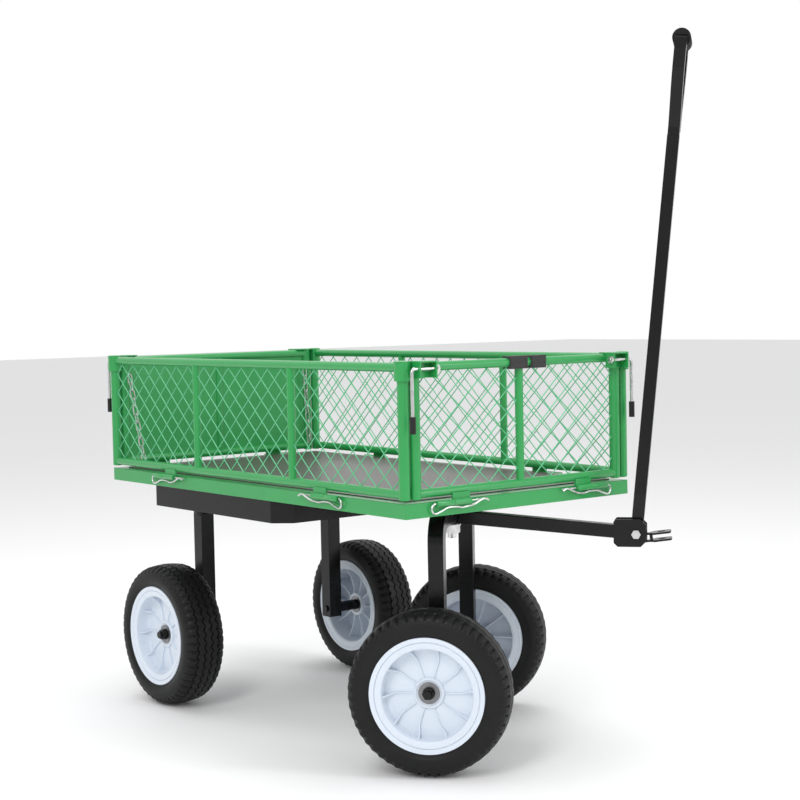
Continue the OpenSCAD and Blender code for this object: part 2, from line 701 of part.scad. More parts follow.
module latch_back_right() color("silver") grounded() latch_rod(-1, -1);
module latch_back_left() color("silver") grounded() latch_rod(-1, 1);
module latch_grip_front_right() color("#1a1a1a") grounded() latch_grip(1, -1);
module latch_grip_front_left() color("#1a1a1a") grounded() latch_grip(1, 1);
module latch_grip_back_right() color("#1a1a1a") grounded() latch_grip(-1, -1);
module latch_grip_back_left() color("#1a1a1a") grounded() latch_grip(-1, 1);

// Fabric strap in two bands round the front panel's top rail, slit for the mesh below
strap_bands = [[-32, 14], [26, 65]];
strap_drop = rail_d + 4;
module panel_strap() color("#1a1a1a") grounded() difference() {
    for (band = strap_bands)
        translate([end_x - rail_d / 2 - strap_t, band[0], panel_top - strap_drop])
            cube([rail_d + 2 * strap_t, band[1] - band[0], strap_drop + strap_t]);
    bar_y(rail_d, end_x, rail_high, -tray_w, tray_w);
    bar_z(divider_d, end_x, 0, panel_bottom, rail_high);
    translate([end_x - wire_d, -tray_w / 2, panel_bottom])
        cube([2 * wire_d, tray_w, rail_high - panel_bottom]);
}

// Spring clips -----------------------------------------------------------------------
// A straight leg through both knuckles, a round loop and a leg that returns below them
clip_step_r = clip_r - clip_under / 2;
clip_step_x = 32;
clip_flat_x = clip_step_x - 2 * clip_step_r;
clip_end_x = -knuckle_l - 18;
module clip_arc(r, x, z, from, turn) translate([x, 0, z]) rotate([90, 0, 0])
    rotate([0, 0, from]) rotate_extrude(angle = turn) translate([r, 0]) circle(d = clip_d);
module clip() {
    bar_x(clip_d, 0, 0, -clip_in, clip_out);
    clip_arc(clip_r, clip_out, -clip_r, -90, 180);
    bar_x(clip_d, 0, -2 * clip_r, clip_step_x, clip_out);
    clip_arc(clip_step_r, clip_step_x, clip_step_r - 2 * clip_r, 180, 90);
    clip_arc(clip_step_r, clip_flat_x, -clip_under - clip_step_r, 0, 90);
    bar_x(clip_d, 0, -clip_under, clip_end_x, clip_flat_x);
}
module clip_right_front() color("silver") grounded() at_long_hinge(-1, 1) clip();
module clip_right_back() color("silver") grounded() at_long_hinge(-1, -1) clip();
module clip_left_front() color("silver") grounded() at_long_hinge(1, 1) clip();
module clip_left_back() color("silver") grounded() at_long_hinge(1, -1) clip();
module clip_front_right() color("silver") grounded() at_end_hinge(1, -1) clip();
module clip_front_left() color("silver") grounded() at_end_hinge(1, 1) clip();
module clip_back_right() color("silver") grounded() at_end_hinge(-1, -1) clip();
module clip_back_left() color("silver") grounded() at_end_hinge(-1, 1) clip();

// Tailgate chains --------------------------------------------------------------------
module link() rotate_extrude() translate([chain_r, 0]) circle(d = chain_wire);
module chain(from, to) {
    run = to - from;
    count = floor(norm(run) / chain_pitch);
    flat = norm([run[0], run[1]]);
    translate(from) rotate([0, -atan2(run[2], flat), atan2(run[1], run[0])])
        for (i = [0:count - 1]) translate([(i + 0.5) * chain_pitch, 0, 0])
            rotate([i % 2 * 90, 0, 0]) link();
}
chain_x = rail_d / 2 + 9 - end_x;
chain_low = deck_h + chain_r + chain_wire;
module chain_right() color("silver") grounded()
    chain([chain_x, -end_post_y + 5, panel_top - 45], [chain_x + 60, -end_post_y + 7, chain_low]);
module chain_left() color("silver") grounded()
    chain([chain_x, end_post_y - 18, panel_top - 48], [chain_x, end_post_y - 8, chain_low]);

tray_frame();
deck_sheet();
cross_members();
undercarriage_box();
rear_fork();
rear_axle();
rear_axle_nuts();
king_plate();
kingpin();
front_fork();
front_axle();
front_axle_nuts();
drawbar();
clevis();
clevis_bolt();
handle_tube();
tow_tongue();
handle_grip();
handle_plug();
tyre_rear_right();
tyre_rear_left();
tyre_front_right();
tyre_front_left();
hub_rear_right();
hub_rear_left();
hub_front_right();
hub_front_left();
bearings_rear_right();
bearings_rear_left();
bearings_front_right();
bearings_front_left();
panel_right_frame();
panel_left_frame();
panel_front_frame();
panel_back_frame();
panel_right_mesh();
panel_left_mesh();
panel_front_mesh();
panel_back_sheet();
latch_brackets_front();
latch_brackets_back();
panel_strap();
latch_front_right();
latch_front_left();
latch_back_right();
latch_back_left();
latch_grip_front_right();
latch_grip_front_left();
latch_grip_back_right();
latch_grip_back_left();
clip_right_front();
clip_right_back();
clip_left_front();
clip_left_back();
clip_front_right();
clip_front_left();
clip_back_right();
clip_back_left();
chain_right();
chain_left();
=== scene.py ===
# %% [markdown]
# # A garden cart, dressed over its CAD frame
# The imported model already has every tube, plate and wheel in its right place and size, in
# metres, with the middle of the deck at the origin. This lesson gives each of those parts a
# finish, and builds the pieces whose looks need more than plain solids: tyres with a cut
# tread, ribbed wheel centres, woven wire sides, sprung wire clips and linked chains.

# %% Load the frame
import json
import math

import bmesh
import bpy
import numpy as np
from mathutils import Matrix, Vector


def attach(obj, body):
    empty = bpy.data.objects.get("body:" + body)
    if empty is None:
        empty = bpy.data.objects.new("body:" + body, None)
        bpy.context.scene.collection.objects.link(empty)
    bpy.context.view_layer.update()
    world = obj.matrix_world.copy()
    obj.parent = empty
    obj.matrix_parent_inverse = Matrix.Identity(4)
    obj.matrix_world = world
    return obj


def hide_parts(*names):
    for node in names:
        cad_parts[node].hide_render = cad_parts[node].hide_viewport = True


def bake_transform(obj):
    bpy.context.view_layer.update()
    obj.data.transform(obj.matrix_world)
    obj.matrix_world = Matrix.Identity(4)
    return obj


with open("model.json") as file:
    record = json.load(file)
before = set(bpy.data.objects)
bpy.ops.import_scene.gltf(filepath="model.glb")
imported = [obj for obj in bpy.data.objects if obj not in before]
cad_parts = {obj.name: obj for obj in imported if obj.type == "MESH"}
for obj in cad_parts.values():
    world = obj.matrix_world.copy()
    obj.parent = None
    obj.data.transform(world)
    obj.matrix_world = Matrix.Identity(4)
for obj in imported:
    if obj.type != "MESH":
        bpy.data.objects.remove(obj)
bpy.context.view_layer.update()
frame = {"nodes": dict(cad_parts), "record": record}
nodes = frame["nodes"]

# %% [markdown]
# ## Sums on sockets
# A finish is a small sum: a base value, plus a little noise, times a mask. Nodes wired by
# hand hide that, so one class wraps an output socket and lets Python write the sum. Every
# `+`, `-` or `*` on it adds one Math node, and `make` adds any other kind of node.

# %% A socket that can be used in a sum
class Wire:
    def __init__(self, tree, socket=None):
        self.tree = tree
        self.socket = socket

    def make(self, kind, settings=None, sockets=None, out=0):
        node = self.tree.nodes.new(kind)
        for name, value in (settings or {}).items():
            if name == "stops":
                ramp = node.color_ramp.elements
                for place, (at, colour) in enumerate(value):
                    stop = ramp[place] if place < len(ramp) else ramp.new(at)
                    stop.position, stop.color = at, (*colour, 1)
            else:
                setattr(node, name, value)
        for name, value in (sockets or {}).items():
            if isinstance(value, Wire):
                self.tree.links.new(value.socket, node.inputs[name])
            else:
                node.inputs[name].default_value = value
        return Wire(self.tree, node.outputs[out])

    def sum_of(self, operation, first, second):
        return self.make("ShaderNodeMath", {"operation": operation}, {0: first, 1: second})

    def __add__(self, other):
        return self.sum_of("ADD", self, other)

    def __sub__(self, other):
        return self.sum_of("SUBTRACT", self, other)

    def __rsub__(self, other):
        return self.sum_of("SUBTRACT", other, self)

    def __mul__(self, other):
        return self.sum_of("MULTIPLY", self, other)

    __radd__ = __add__
    __rmul__ = __mul__


print("socket sums are ready")

# %% [markdown]
# ## Finishes
# Every finish starts from one Principled shader. What stays the same all over is set on the
# shader's own sockets; only what changes over the surface is wired. `finish` makes the
# shader and hands back a wire at the part's own coordinates, which move with the part.

# %% One function that starts a finish
finishes = {}


def finish(name, colour, roughness, metallic=0.0, coat=0.0, coat_roughness=0.1, sheen=0.0,
           gloss=0.5):
    material = bpy.data.materials.new(name)
    material.use_nodes = True
    material.diffuse_color = (*colour, 1)
    shader = material.node_tree.nodes["Principled BSDF"]
    shader.inputs["Specular IOR Level"].default_value = gloss
    shader.inputs["Base Color"].default_value = (*colour, 1)
    shader.inputs["Roughness"].default_value = roughness
    shader.inputs["Metallic"].default_value = metallic
    shader.inputs["Coat Weight"].default_value = coat
    shader.inputs["Coat Roughness"].default_value = coat_roughness
    shader.inputs["Sheen Weight"].default_value = sheen
    finishes[name] = material
    place = Wire(material.node_tree).make("ShaderNodeTexCoord", out="Object")
    return shader, place


def wear(place, scale, detail=3.0):
    return place.make(
        "ShaderNodeTexNoise", {}, {"Vector": place, "Scale": scale, "Detail": detail}
    )


def drive(shader, name, wire):
    wire.tree.links.new(wire.socket, shader.inputs[name])


def bump(shader, height, strength, distance):
    drive(shader, "Normal", height.make(
        "ShaderNodeBump", {}, {"Height": height, "Strength": strength, "Distance": distance}
    ))


def tint(place, factor, low, high):
    return place.make("ShaderNodeMix", {"data_type": "RGBA"},
                      {"Factor": factor, "A": (*low, 1), "B": (*high, 1)}, out=2)


print("finishes start from one Principled shader")

# %% [markdown]
# ### Paint
# Powder coat is baked plastic: an even colour, a soft gloss and a skin that ripples a little
# like orange peel. The ripple is a fine noise that only bends the light. The tray and sides
# are bright green, and the running gear is a semi-gloss black.

# %% Green and black powder coat
PEEL_SCALE = 420.0
GREEN = (0.020, 0.335, 0.076)
GREEN_DEEP = (0.016, 0.295, 0.064)
for name, low, high, rough, coat in (
    ("green_paint", GREEN_DEEP, GREEN, 0.30, 0.35),
    ("green_wire", (0.08, 0.44, 0.20), (0.14, 0.55, 0.29), 0.34, 0.25),
    ("black_paint", (0.003, 0.003, 0.003), (0.006, 0.006, 0.006), 0.26, 0.05),
):
    shader, place = finish(name, high, rough, coat=coat, coat_roughness=0.18,
                           gloss=0.25 if name == "black_paint" else 0.5)
    drive(shader, "Base Color", tint(place, wear(place, 9.0), low, high))
    drive(shader, "Roughness", wear(place, 30.0) * 0.10 + (rough - 0.05))
    bump(shader, wear(place, PEEL_SCALE, 1.0), 0.05, 0.0006)
print("paints:", ", ".join(finishes))

# %% [markdown]
# ### Deck sheet
# The floor of the tray is a dark coated sheet pressed with a fine diamond grain. Two sets of
# slanting waves, crossed and multiplied, give the grain without drawing a single line.

# %% Dark grained deck
GRAIN = 115.0
shader, place = finish("deck_coat", (0.045, 0.036, 0.030), 0.46, coat=0.12)
slanted = place.make("ShaderNodeMapping", {"vector_type": "POINT"},
                    {"Vector": place, "Rotation": (0, 0, math.radians(45))})
waves = [slanted.make("ShaderNodeTexWave", {"bands_direction": axis},
                     {"Vector": slanted, "Scale": GRAIN / math.tau * 2.2}) for axis in "XY"]
grain = waves[0] * waves[1]
drive(shader, "Base Color", tint(place, grain, (0.045, 0.038, 0.036), (0.15, 0.125, 0.12)))
drive(shader, "Roughness", grain * 0.18 + 0.38)
bump(shader, grain, 0.5, 0.0006)
print("deck grain is set to", GRAIN)

# %% [markdown]
# ### Bare metals, rubber and plastics
# Zinc plate is a pale metal with faint cloudy patches. Rubber is nearly black, dull and
# dusty in places. The wheel centres are white moulded plastic with a slight blue cast.

# %% Zinc, steel, rubber, plastics and cloth
for name, low, high, rough in (
    ("zinc", (0.50, 0.50, 0.50), (0.78, 0.78, 0.77), 0.26),
    ("bearing_steel", (0.13, 0.13, 0.14), (0.30, 0.30, 0.31), 0.32),
):
    shader, place = finish(name, high, rough, metallic=1.0)
    cloud = wear(place, 60.0)
    drive(shader, "Base Color", tint(place, cloud, low, high))
    drive(shader, "Roughness", cloud * 0.18 + (rough - 0.06))

for name, low, high, rough, coat, peel in (
    ("tyre_rubber", (0.006, 0.006, 0.006), (0.012, 0.012, 0.012), 0.50, 0.04, 0.10),
    ("grip_foam", (0.010, 0.010, 0.010), (0.020, 0.020, 0.020), 0.78, 0.0, 0.35),
    ("black_vinyl", (0.012, 0.012, 0.013), (0.022, 0.022, 0.023), 0.40, 0.10, 0.05),
    ("hub_plastic", (0.66, 0.73, 0.82), (0.72, 0.78, 0.86), 0.30, 0.15, 0.02),
):
    shader, place = finish(name, high, rough, coat=coat, coat_roughness=0.2,
                           gloss=0.5 if name == "hub_plastic" else 0.2)
    drive(shader, "Base Color", tint(place, wear(place, 14.0), low, high))
    drive(shader, "Roughness", wear(place, 40.0) * 0.14 + (rough - 0.07))
    bump(shader, wear(place, 900.0, 2.0), peel, 0.0005)

THREADS = 260.0
shader, place = finish("strap_fabric", (0.010, 0.010, 0.011), 0.75, sheen=0.25)
threads = [place.make("ShaderNodeTexWave", {"bands_direction": axis},
                      {"Vector": place, "Scale": THREADS}) for axis in "YZ"]
weave = threads[0] * threads[1]
bump(shader, weave, 0.6, 0.0008)
drive(shader, "Base Color", tint(place, weave, (0.006, 0.006, 0.006), (0.022, 0.022, 0.024)))
print("finishes:", len(finishes))

# %% [markdown]
# ## Dress the CAD parts
# The record already says which finish each part takes. Sheet and tube also have small round
# edges that catch the light. The CAD keeps them sharp, so a Weld and a Bevel modifier round
# them here and leave the part's own mesh alone.

# %% Finishes and rounded edges on the CAD parts
for part in frame["record"]["subparts"]:
    mesh = nodes[part["node"]].data
    mesh.materials.clear()
    mesh.materials.append(finishes[part["material_slot"]])

edge_radius = {
    "handle_tube": 0.0065, "drawbar": 0.0040, "rear_fork": 0.0050, "front_fork": 0.0045,
    "tray_frame": 0.0012, "undercarriage_box": 0.0025, "clevis": 0.0010,
    "tow_tongue": 0.0008, "cross_members": 0.0020, "king_plate": 0.0010,
    "latch_brackets_front": 0.0009, "latch_brackets_back": 0.0009,
    "kingpin": 0.0010, "clevis_bolt": 0.0010, "panel_strap": 0.0030,
    "handle_grip": 0.0040, "rear_axle_nuts": 0.0008, "front_axle_nuts": 0.0008,
}
for name, radius in edge_radius.items():
    part = nodes[name]
    weld = part.modifiers.new("weld", "WELD")
    weld.merge_threshold = 0.00002
    bevel = part.modifiers.new("round", "BEVEL")
    bevel.width = radius
    bevel.segments = 3
    bevel.limit_method = "ANGLE"
    bevel.angle_limit = math.radians(35)
    bevel.harden_normals = True
print("rounded edges on", len(edge_radius), "parts")

# %% [markdown]
# ## Building pieces from points
# The detailed pieces are worked out as points. `piece` turns points and faces into an
# object, shades it smooth and keeps an edge sharp wherever two faces meet steeply.

# %% Points to objects
MM = 0.001
SHARP = math.radians(32)


def piece(name, points, faces, slot):
    mesh = bpy.data.meshes.new(name)
    mesh.from_pydata([tuple(p) for p in points], [], faces)
    build = bmesh.new()
    build.from_mesh(mesh)
    bmesh.ops.recalc_face_normals(build, faces=build.faces)
    for face in build.faces:
        face.smooth = True
    for edge in build.edges:
        if len(edge.link_faces) == 2 and edge.calc_face_angle(0) > SHARP:
            edge.smooth = False
    build.to_mesh(mesh)
    build.free()
    mesh.materials.append(finishes[slot])
    made = bpy.data.objects.new(name, mesh)
    bpy.context.scene.collection.objects.link(made)
    return made


def grid_faces(rows, columns, wrap_rows=False, wrap_columns=False, start=0):
    last_row = rows if wrap_rows else rows - 1
    last_column = columns if wrap_columns else columns - 1
    return [
        [start + (i + a) % rows * columns + (j + b) % columns for a, b in
         ((0, 0), (0, 1), (1, 1), (1, 0))]
        for i in range(last_row) for j in range(last_column)
    ]


print("points become pieces in millimetres times", MM)

# %% [markdown]
# Wires, clips and chain links are all round bars that follow a line. A frame carried along
# the line keeps the bar's rings from twisting, so one function serves them all.

# %% Round bar along a line
def smooth_line(points, per_span=6):
    p = np.array(points, float)
    p = np.vstack([2 * p[0] - p[1], p, 2 * p[-1] - p[-2]])
    line = []
    for i in range(1, len(p) - 2):
        for t in np.linspace(0, 1, per_span, endpoint=False):
            a, b, c, d = p[i - 1:i + 3]
            line.append(0.5 * (2 * b + (c - a) * t + (2 * a - 5 * b + 4 * c - d) * t ** 2
                               + (3 * b - a - 3 * c + d) * t ** 3))
    return np.array(line + [p[-2]])


def bar(line, radius, sides=8, closed=False, start=0):
    line = np.array(line, float)
    count = len(line)
    if closed:
        ahead = np.roll(line, -1, 0) - np.roll(line, 1, 0)
    else:
        ahead = np.gradient(line, axis=0)
    ahead /= np.linalg.norm(ahead, axis=1)[:, None]
    side = np.cross(ahead[0], (0, 0, 1) if abs(ahead[0][2]) < 0.9 else (1, 0, 0))
    rings = []
    for centre, way in zip(line, ahead):
        side = side - way * (side @ way)
        side /= np.linalg.norm(side)
        up = np.cross(way, side)
        for turn in np.arange(sides) * math.tau / sides:
            rings.append(centre + radius * (side * math.cos(turn) + up * math.sin(turn)))
    faces = grid_faces(count, sides, wrap_rows=closed, wrap_columns=True, start=start)
    if not closed:
        faces.append([start + j for j in range(sides)])
        faces.append([start + (count - 1) * sides + j for j in range(sides)])
    return rings, faces


def gather(parts):
    points, faces = [], []
    for make in parts:
        more_points, more_faces = make(len(points))
        points.extend(more_points)
        faces.extend(more_faces)
    return points, faces


print("bars follow any line")

# %% [markdown]
# ## Wheels
# Each wheel is drawn once about its own axle, outer face towards +Z, and then placed four
# times. These are the four places: two on the rear axle, and two on the front axle, which
# stands turned to the left.

# %% Where the wheels stand
STEER = math.radians(40)
KINGPIN = Vector((0.350, 0, 0))
AXLE_HEIGHT = -0.385
HALF_TRACK = 0.282
REAR_AXLE = -0.354


def wheel_place(end, side):
    outward = Matrix.Rotation(math.radians(-90 * side), 4, "X")
    at = Matrix.Translation((0, side * HALF_TRACK, AXLE_HEIGHT))
    if end == "rear":
        return Matrix.Translation((REAR_AXLE, 0, 0)) @ at @ outward
    return Matrix.Translation(KINGPIN) @ Matrix.Rotation(STEER, 4, "Z") @ at @ outward


WHEELS = [(end, word, wheel_place(end, side))
          for end in ("rear", "front") for word, side in (("right", -1), ("left", 1))]


def place_wheels(kind, mesh_owner, slot, *replaced):
    for end, word, place in WHEELS:
        made = bpy.data.objects.new(f"{kind}_{end}_{word}_detail", mesh_owner.data)
        bpy.context.scene.collection.objects.link(made)
        made.matrix_world = place
        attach(made, f"wheel_{end}_{word}")
        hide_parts(*[f"{r}_{end}_{word}" for r in replaced])
    bpy.data.objects.remove(mesh_owner)


print("wheels:", [f"{end} {word}" for end, word, _ in WHEELS])

# %% [markdown]
# ### Tyres
# A tyre is a ring, so it could be a turned profile, but the tread would be bare. Here the
# profile's rows lean from side to side as they go round, which makes the zigzag, and the
# rows of a groove are sunk towards the axle. Notches in the shoulders follow the zigzag.

# %% Tyre with zigzag grooves
TYRE_RADIUS = 165.0
ZIGZAGS = 52
STEPS = 8
ZIGZAG_SWING = 3.2
GROOVE_DEPTH = 3.6
half_profile = [
    (115.9, 44.0, 0), (116.2, 45.6, 0), (118.0, 46.4, 0), (121.0, 46.8, 0),
    (124.0, 48.6, 0), (130.0, 50.3, 0), (138.0, 50.5, 0), (144.0, 49.6, 0),
    (148.4, 47.9, 0), (150.6, 47.6, 0), (154.6, 44.6, 0.3), (158.0, 40.0, 0.7),
    (160.4, 34.5, 1.0),
]
tread_rows = []
for groove, flat in ((27.0, 162.3), (9.0, 164.4)):
    for shift, sunk in ((1.9, 0), (0.9, 1), (-0.9, 1), (-1.9, 0)):
        drop = GROOVE_DEPTH if sunk else 0
        tread_rows.append((flat - drop, groove + shift, 1.0))
crown = [(164.8, 3.6, 1.0), (165.0, 0.0, 1.0)]
half = half_profile + [(161.4, 31.0, 1.0)] + tread_rows[:4] + [(163.6, 18.0, 1.0)]
half += tread_rows[4:] + crown
profile = half + [(r, -z, w) for r, z, w in reversed(half[:-1])]

points = []
columns = ZIGZAGS * STEPS
for row, (radius, across, lean) in enumerate(profile):
    shoulder = 150.0 < radius < 161.8 and 30.0 < abs(across) < 48.0
    for column in range(columns):
        step = column % STEPS
        swing = 1 - abs(step - STEPS / 2) / (STEPS / 4)
        turn = column * math.tau / columns
        notch_step = 0 if across > 0 else STEPS // 2
        notched = shoulder and step in (notch_step, (notch_step + 1) % STEPS)
        r = radius - (2.4 if notched else 0)
        points.append((r * math.cos(turn) * MM, r * math.sin(turn) * MM,
                       (across + lean * swing * ZIGZAG_SWING) * MM))
faces = grid_faces(len(profile), columns, wrap_rows=True, wrap_columns=True)
tyre = piece("tyre", points, faces, "tyre_rubber")
print("tyre:", len(tyre.data.vertices), "points,", ZIGZAGS, "zigzags")
place_wheels("tyre", tyre, "tyre_rubber", "tyre")

# %% [markdown]
# ### Wheel centres
# The white centre is one moulding: a broad rim, a step down to a shallow dish, ten thin ribs
# and a boss for the bearing. The turned part is a closed profile; the ribs are slim bars
# that rise a little and bend near the rim, as on the moulded original.

# %% Moulded wheel centre with ribs
TURNS = 120
RIBS = 10
outer = [
    (21.5, 17.5), (25.0, 18.5), (26.5, 20.0), (29.5, 20.0), (31.0, 18.5), (32.0, 14.6),
    (60.0, 14.2), (84.0, 13.2), (88.5, 14.2), (90.5, 17.0), (91.6, 24.0), (92.0, 40.0),
    (92.8, 42.6), (95.0, 43.6), (104.6, 45.6), (105.6, 43.6), (106.8, 45.9), (113.8, 47.4),
    (115.6, 47.6), (116.0, 46.0),
]
inner = [
    (116.0, -46.0), (115.6, -47.6), (109.5, -46.9), (108.0, -45.7), (106.5, -46.2),
    (95.0, -44.0), (92.4, -41.0), (91.6, -20.0), (90.5, 6.0), (88.0, 8.8), (33.0, 8.8),
    (30.0, 6.0), (29.0, -17.0), (28.0, -19.0), (21.5, -19.0),
]
ring = outer + inner
hub_points = []
for radius, height in ring:
    for turn in np.arange(TURNS) * math.tau / TURNS:
        hub_points.append((radius * math.cos(turn) * MM, radius * math.sin(turn) * MM, height * MM))
hub_faces = grid_faces(len(ring), TURNS, wrap_rows=True, wrap_columns=True)


def rib(turn, stations, foot):
    """A slim wall: stations are (radius, bend in degrees, half thickness, top)."""
    def make(start):
        made = []
        for radius, bend, thick, top in stations:
            a = turn + math.radians(bend)
            way = np.array((math.cos(a), math.sin(a), 0))
            beside = np.array((-math.sin(a), math.cos(a), 0))
            for out, z in ((-thick, foot), (-thick * 0.7, top), (thick * 0.7, top), (thick, foot)):
                made.append((way * radius + beside * out + np.array((0, 0, z))) * MM)
        faces = grid_faces(len(stations), 4, wrap_columns=True, start=start)
        return made, faces
    return make


outer_rib = [(29.0, 0, 1.2, 18.6), (50.0, 0, 1.2, 18.2), (66.0, 0.3, 1.2, 18.2),
             (76.0, 2.4, 1.4, 20.0), (84.0, 4.4, 1.8, 25.0), (92.0, 5.0, 2.2, 34.0)]
inner_rib = [(29.0, 0, 1.6, -16.0), (60.0, 0, 1.6, -14.0), (92.0, 0, 1.8, -22.0)]
ribs = []
for n in range(RIBS):
    turn = n * math.tau / RIBS
    ribs.append(rib(turn, outer_rib, 13.0))
    ribs.append(rib(turn, inner_rib, 9.5))
rib_points, rib_faces = gather(ribs)
shift = len(hub_points)
centre = piece("centre", hub_points + rib_points,
               hub_faces + [[i + shift for i in f] for f in rib_faces], "hub_plastic")
print("wheel centre:", len(centre.data.vertices), "points,", RIBS, "ribs")
place_wheels("hub", centre, "hub_plastic", "hub")

# %% [markdown]
# ## Wire sides
# The sides are filled with straight wires in two layers that cross and are welded. A wire
# is a straight bar, so each bay needs only the two ends of every wire: where its slanting
# line enters and leaves the bay.

# %% Crossed wires in a bay
WIRE_RADIUS = 1.15
MESH_LOW, MESH_HIGH = 24.0, 252.0
TUCK = 3.0


def bay_wires(low, high, cell=(51.0, 45.0)):
    """Lines of both layers as (layer, first end, last end) in the panel's own plane."""
    wide, tall = high - low, MESH_HIGH - MESH_LOW
    across = round(wide / cell[0])
    up = round(tall / cell[1])
    dx, dz = wide / across, tall / up
    lines = []
    for layer in (1, -1):
        first = -across if layer > 0 else 0
        last = up if layer > 0 else across + up
        for k in range(first, last):
            ends = []
            for u in (0.0, wide):
                v = (k + 0.5 + layer * u / dx) * dz
                if -1e-6 <= v <= tall + 1e-6:
                    ends.append((u, v))
            for v in (0.0, tall):
                u = (v / dz - k - 0.5) * dx * layer
                if 1e-6 < u < wide - 1e-6:
                    ends.append((u, v))
            a, b = (np.array(e) for e in sorted(ends)[:2])
            stretch = (b - a) / np.linalg.norm(b - a) * TUCK
            a, b = a - stretch + (low, MESH_LOW), b + stretch + (low, MESH_LOW)
            lines.append((layer, a, b))
    return lines


def wire_side(name, body, bays, to_frame, replaced):
    parts = []
    for low, high in bays:
        for layer, a, b in bay_wires(low, high):
            line = [to_frame(u, v, layer * WIRE_RADIUS * 0.72) for u, v in (a, b)]
            parts.append(lambda start, line=line: bar(line, WIRE_RADIUS * MM, 6, start=start))
    made = piece(name, *gather(parts), "green_wire")
    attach(made, body)
    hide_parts(replaced)
    print(name, "has", len(parts), "wires")


LONG_Y, END_X = 299.0, 568.0
long_bays = [(-554.0, -196.8), (-179.8, 179.8), (196.8, 554.0)]
end_bays = [(-263.0, -8.5), (8.5, 263.0)]
for word, side in (("right", -1), ("left", 1)):
    wire_side(f"wires_{word}", f"panel_{word}", long_bays,
              lambda u, v, out, side=side: np.array((u, side * LONG_Y + out, v)) * MM,
              f"panel_{word}_mesh")
wire_side("wires_front", "panel_front", end_bays,
          lambda u, v, out: np.array((END_X + out, u, v)) * MM, "panel_front_mesh")

# %% [markdown]
# ## Sprung clips
# Every hinge is held by a clip bent from one wire: a straight leg through the knuckles, a
# round eye, and a wavy leg that snaps under the knuckle and crosses the straight leg. A
# short list of bends, smoothed to a line, gives the whole clip.

# %% Clip wire
CLIP_RADIUS = 2.0
HINGE_HEIGHT = -6.5
HINGE_OUT = 6.5
eye = [(46 + 9.6 * math.sin(a), -9.6 + 9.6 * math.cos(a)) for a in np.linspace(0, math.pi, 13)]
back_leg = [(40.0, -17.6), (30.0, -14.6), (20.0, -10.6), (10.0, -9.0), (-8.0, -9.6),
            (-22.0, -12.0), (-36.0, -10.8), (-48.0, -8.4), (-60.0, -4.0), (-72.0, 0.8),
            (-80.0, 0.6), (-88.0, -3.0)]


def clip_line():
    """The clip's line about its hinge: along the edge, outward from the tray, up."""
    straight = [(x, 0.0, 0.0) for x in (-88.0, -60.0, -30.0, 0.0, 30.0, 44.0)]
    turn = [(x, 0.2 * i / 12, z) for i, (x, z) in enumerate(eye)]
    back = [(x, 0.2 + (4.4 if x < -50 else 4.4 * max(0.0, (-x - 40) / 10)), z) for x, z in back_leg]
    return smooth_line(straight + turn[1:] + back, 4)


def clip(name, body, corner, along, outward):
    """corner is the hinge's middle; along and outward are unit vectors in plan."""
    line = [
        (np.array(corner) + np.array((*along, 0)) * x + np.array((*outward, 0)) * y
         + np.array((0, 0, z))) * MM
        for x, y, z in clip_line()
    ]
    made = piece(name, *bar(line, CLIP_RADIUS * MM, 10), "zinc")
    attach(made, body)
    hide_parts(body)


for word, side in (("right", -1), ("left", 1)):
    for end_word, end in (("front", 1), ("back", -1)):
        clip(f"spring_{word}_{end_word}", f"clip_{word}_{end_word}",
             (end * 320, side * (305 + HINGE_OUT), HINGE_HEIGHT), (end, 0), (0, side))
        clip(f"spring_{end_word}_{word}", f"clip_{end_word}_{word}",
             (end * (575 + HINGE_OUT), side * 190, HINGE_HEIGHT), (0, side), (end, 0))
print("eight clips, each", len(clip_line()), "rings long")

# %% [markdown]
# ## Chains
# Two chains run from the back side to the bed. A link is a round bar round a long loop, and
# each link stands at a right angle to its neighbours.

# %% Linked chains
LINK_WIRE = 1.5
LINK_HALF, LINK_ROUND = 6.4, 5.2
LINK_PITCH = 2 * (LINK_HALF + LINK_ROUND - LINK_WIRE) - 0.2


def link_loop():
    loop = []
    for a in np.linspace(-math.pi / 2, math.pi / 2, 7):
        loop.append((LINK_HALF + LINK_ROUND * math.cos(a), LINK_ROUND * math.sin(a)))
    return loop + [(-x, -y) for x, y in loop]


def chain(name, first, last, replaced):
    first, last = np.array(first, float), np.array(last, float)
    way = (last - first) / np.linalg.norm(last - first)
    flat = np.cross(way, (0, 0, 1) if abs(way[2]) < 0.9 else (0, 1, 0))
    flat /= np.linalg.norm(flat)
    other = np.cross(way, flat)
    count = int(np.linalg.norm(last - first) // LINK_PITCH)
    parts = []
    for n in range(count):
        middle = first + way * (n + 0.5) * LINK_PITCH
        side = flat if n % 2 else other
        line = [(middle + way * x + side * y) * MM for x, y in link_loop()]
        parts.append(lambda start, line=line: bar(line, LINK_WIRE * MM, 8, closed=True, start=start))
    made = piece(name, *gather(parts), "zinc")
    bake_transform(made)
    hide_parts(replaced)
    print(name, "has", count, "links")


chain("links_right", (-550, -269, 225), (-490, -267, 10), "chain_right")
chain("links_left", (-550, 256, 222), (-550, 266, 10), "chain_left")

# %% [markdown]
# ## Small hardware
# The caps that close the ends of the sides' posts are too small to be worth solids of their
# own. Each is turned from a short profile of heights and radii.

